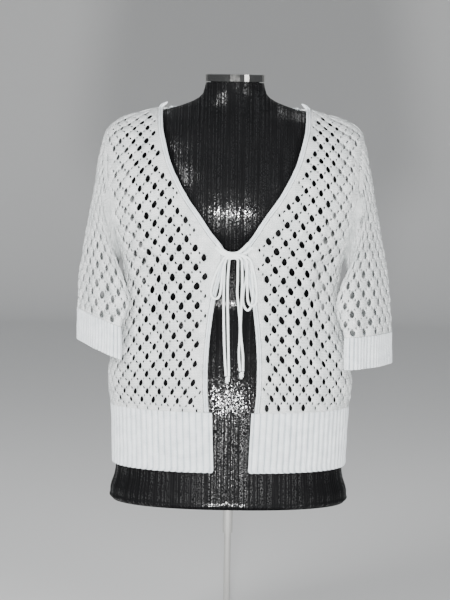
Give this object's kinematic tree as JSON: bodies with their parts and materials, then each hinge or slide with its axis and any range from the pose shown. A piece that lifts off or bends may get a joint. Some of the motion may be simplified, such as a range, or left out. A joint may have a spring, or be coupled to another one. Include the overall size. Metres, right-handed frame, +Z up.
{
  "type": "open-knit tie-front cardigan on a limbless dress form",
  "caption": "White open-knit cardigan with elbow sleeves, ribbed hem and cuffs and a cord tied in a bow, worn by a black dress form on a pole and round base.",
  "frame": {"origin": "middle of the base's underside, where the stand rests on a surface", "axes": "+Z up along the pole to the neck cap; -Y towards the garment's front; +X towards the wearer's left"},
  "size_m": [0.5077, 0.3, 0.9005],
  "materials": {
    "knit": "matte cotton yarn, open eyelet knit with ribbed hem and cuffs",
    "tie_cord": "matte knitted cord",
    "form_cover": "black ribbed stretch cloth with a fine sparkle",
    "chrome": "polished",
    "base_steel": "satin black"
  },
  "bodies": {
    "root": {"back_panel": "knit", "front_left": "knit", "front_right": "knit", "sleeve_left": "knit", "sleeve_right": "knit", "cuff_left": "knit", "cuff_right": "knit", "hem_back": "knit", "hem_front_left": "knit", "hem_front_right": "knit", "band_left": "knit", "band_right": "knit", "band_back_neck": "knit", "tie_knot": "tie_cord", "tie_loop_left_outer": "tie_cord", "tie_loop_left_inner": "tie_cord", "tie_loop_right": "tie_cord", "tie_tail_left_inner": "tie_cord", "tie_tail_left_outer": "tie_cord", "tie_tail_right_inner": "tie_cord", "tie_tail_right_outer": "tie_cord", "tail_knot_left": "tie_cord", "tail_knot_right": "tie_cord", "form_torso": "form_cover", "neck_cap": "chrome", "pole": "chrome", "pole_collar": "chrome", "base": "base_steel"}
  },
  "joints": []
}
